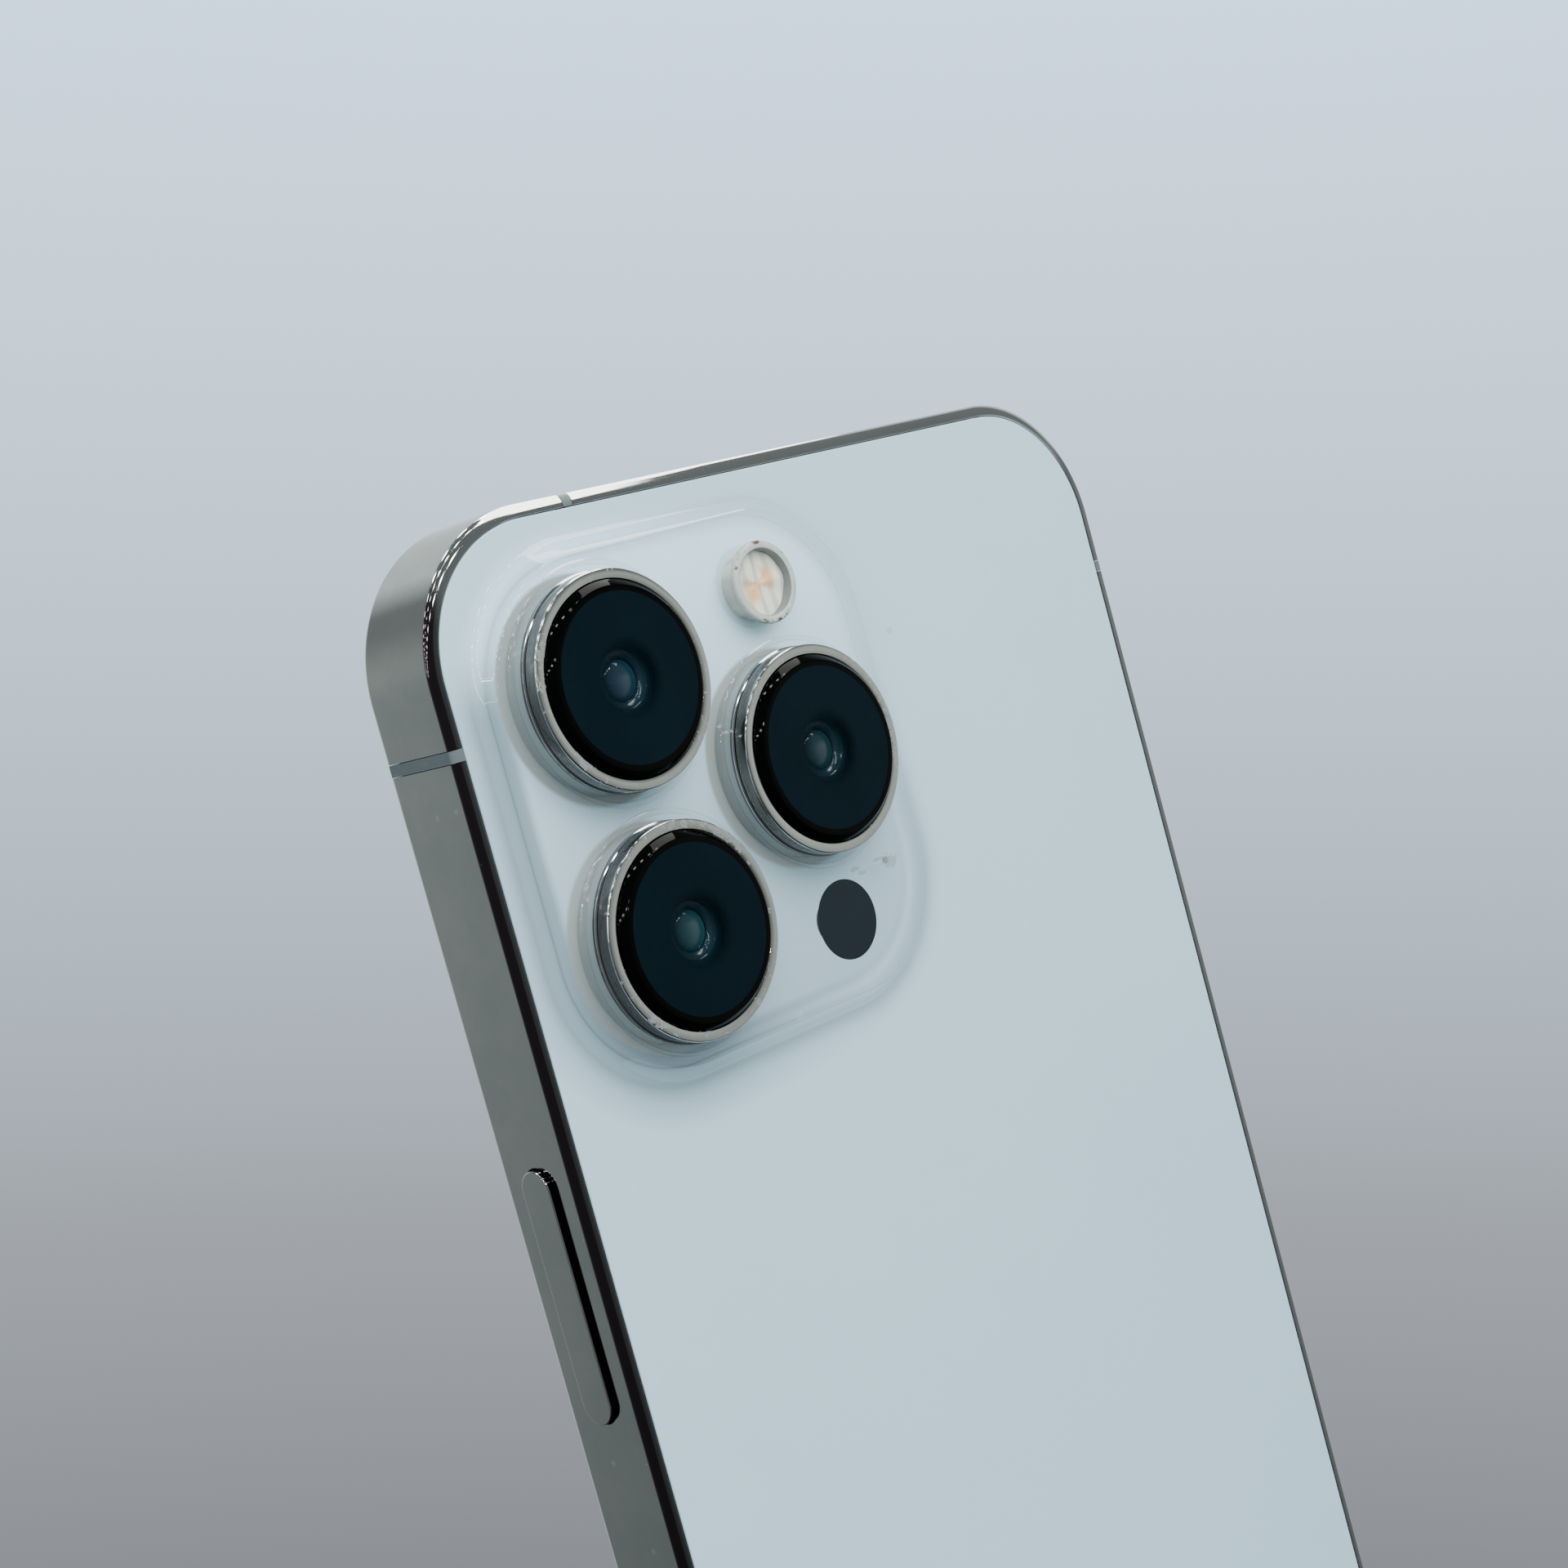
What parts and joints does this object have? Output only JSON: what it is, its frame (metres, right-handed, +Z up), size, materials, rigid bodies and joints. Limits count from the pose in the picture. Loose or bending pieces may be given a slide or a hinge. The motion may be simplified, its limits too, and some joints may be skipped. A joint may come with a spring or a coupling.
{
  "type": "smartphone",
  "caption": "Flat-sided smartphone with a polished steel band, white rear glass, a raised camera plateau with proud lens rings, side buttons, switch and card tray.",
  "frame": {"origin": "centre of the phone's box on the surface it stands on, under the bottom edge", "axes": "+Z runs up the phone's length, the display faces -Y, the rear glass and cameras face +Y, the side button is on the +X edge"},
  "size_m": [0.0724, 0.0116, 0.1467],
  "materials": {
    "polished_steel": "mirror-polished stainless steel",
    "inner_steel": "plain sheet steel",
    "break_plastic": "satin moulded plastic",
    "white_glass": "matt etched white glass, gloss on the plateau",
    "display_glass": "gloss cover glass over a dark display",
    "display_panel": "dark display panel",
    "lens_glass": "coated dark lens glass",
    "clear_glass": "clear faceted flash lens",
    "flash_emitter": "warm phosphor patches",
    "black_plastic": "matt black moulded plastic",
    "speaker_mesh": "fine black mesh",
    "board": "solder-masked circuit board",
    "battery_wrap": "black foil wrap",
    "copper": "bare copper",
    "magnet": "plated magnet and tungsten alloy",
    "contacts": "gold-plated contacts"
  },
  "bodies": {
    "phone": {"band_corner": "polished_steel", "band_top": "polished_steel", "band_button_side": "polished_steel", "band_volume_side": "polished_steel", "band_bottom": "polished_steel", "band_bottom_corner": "polished_steel", "antenna_break_top": "break_plastic", "antenna_break_upper_button_side": "break_plastic", "antenna_break_upper_volume_side": "break_plastic", "antenna_break_lower_button_side": "break_plastic", "antenna_break_lower_volume_side": "break_plastic", "antenna_break_bottom": "break_plastic", "rear_glass": "white_glass", "chassis_plate": "inner_steel", "display_glass": "display_glass", "display_gasket": "black_plastic", "display_panel": "display_panel", "earpiece_mesh": "speaker_mesh", "earpiece_speaker": "black_plastic", "front_camera": "lens_glass", "face_sensor": "black_plastic", "lens_ring_main": "polished_steel", "lens_ring_tele": "polished_steel", "lens_ring_wide": "polished_steel", "lens_cover_main": "lens_glass", "lens_cover_tele": "lens_glass", "lens_cover_wide": "lens_glass", "camera_housing_main": "black_plastic", "camera_housing_tele": "black_plastic", "camera_housing_wide": "black_plastic", "camera_bracket": "inner_steel", "flash_lens": "clear_glass", "flash_module": "flash_emitter", "depth_window": "lens_glass", "depth_module": "black_plastic", "rear_microphone": "speaker_mesh", "volume_flex": "copper", "sim_reader": "inner_steel", "charging_port": "inner_steel", "port_contacts": "contacts", "bottom_screw_speaker_side": "polished_steel", "bottom_screw_microphone_side": "polished_steel", "speaker_mesh": "speaker_mesh", "microphone_mesh": "speaker_mesh", "battery": "battery_wrap", "logic_board": "board", "board_shield": "inner_steel", "charging_coil": "copper", "magnet_ring": "magnet", "haptic_case": "inner_steel", "loudspeaker": "black_plastic"},
    "side_button": {"side_button": "polished_steel"},
    "volume_up": {"volume_up_button": "polished_steel"},
    "volume_down": {"volume_down_button": "polished_steel"},
    "mute_switch": {"mute_switch": "polished_steel"},
    "sim_tray": {"sim_tray": "polished_steel"},
    "focus_main": {"lens_barrel_main": "black_plastic"},
    "focus_tele": {"lens_barrel_tele": "black_plastic"},
    "focus_wide": {"lens_barrel_wide": "black_plastic"},
    "haptic_mass": {"haptic_mass": "magnet"}
  },
  "joints": [
    {"name": "side_button_press", "type": "slide", "parent": "phone", "child": "side_button", "axis": [-1, 0, 0], "range_m": [0, 0.0003], "stiffness_N_per_m": 4000},
    {"name": "volume_up_press", "type": "slide", "parent": "phone", "child": "volume_up", "axis": [1, 0, 0], "range_m": [0, 0.0003], "stiffness_N_per_m": 4000},
    {"name": "volume_down_press", "type": "slide", "parent": "phone", "child": "volume_down", "axis": [1, 0, 0], "range_m": [0, 0.0003], "stiffness_N_per_m": 4000},
    {"name": "mute_switch_slide", "type": "slide", "parent": "phone", "child": "mute_switch", "axis": [0, 1, 0], "range_m": [0, 0.0012]},
    {"name": "sim_tray_slide", "type": "slide", "parent": "phone", "child": "sim_tray", "axis": [-1, 0, 0], "range_m": [0, 0.022]},
    {"name": "focus_main_travel", "type": "slide", "parent": "phone", "child": "focus_main", "axis": [0, 1, 0], "range_m": [0, 0.0003], "stiffness_N_per_m": 400},
    {"name": "focus_tele_travel", "type": "slide", "parent": "phone", "child": "focus_tele", "axis": [0, 1, 0], "range_m": [0, 0.0003], "stiffness_N_per_m": 400},
    {"name": "focus_wide_travel", "type": "slide", "parent": "phone", "child": "focus_wide", "axis": [0, 1, 0], "range_m": [0, 0.0003], "stiffness_N_per_m": 400},
    {"name": "haptic_shake", "type": "slide", "parent": "phone", "child": "haptic_mass", "axis": [1, 0, 0], "range_m": [-0.0005, 0.0005], "stiffness_N_per_m": 3000}
  ]
}
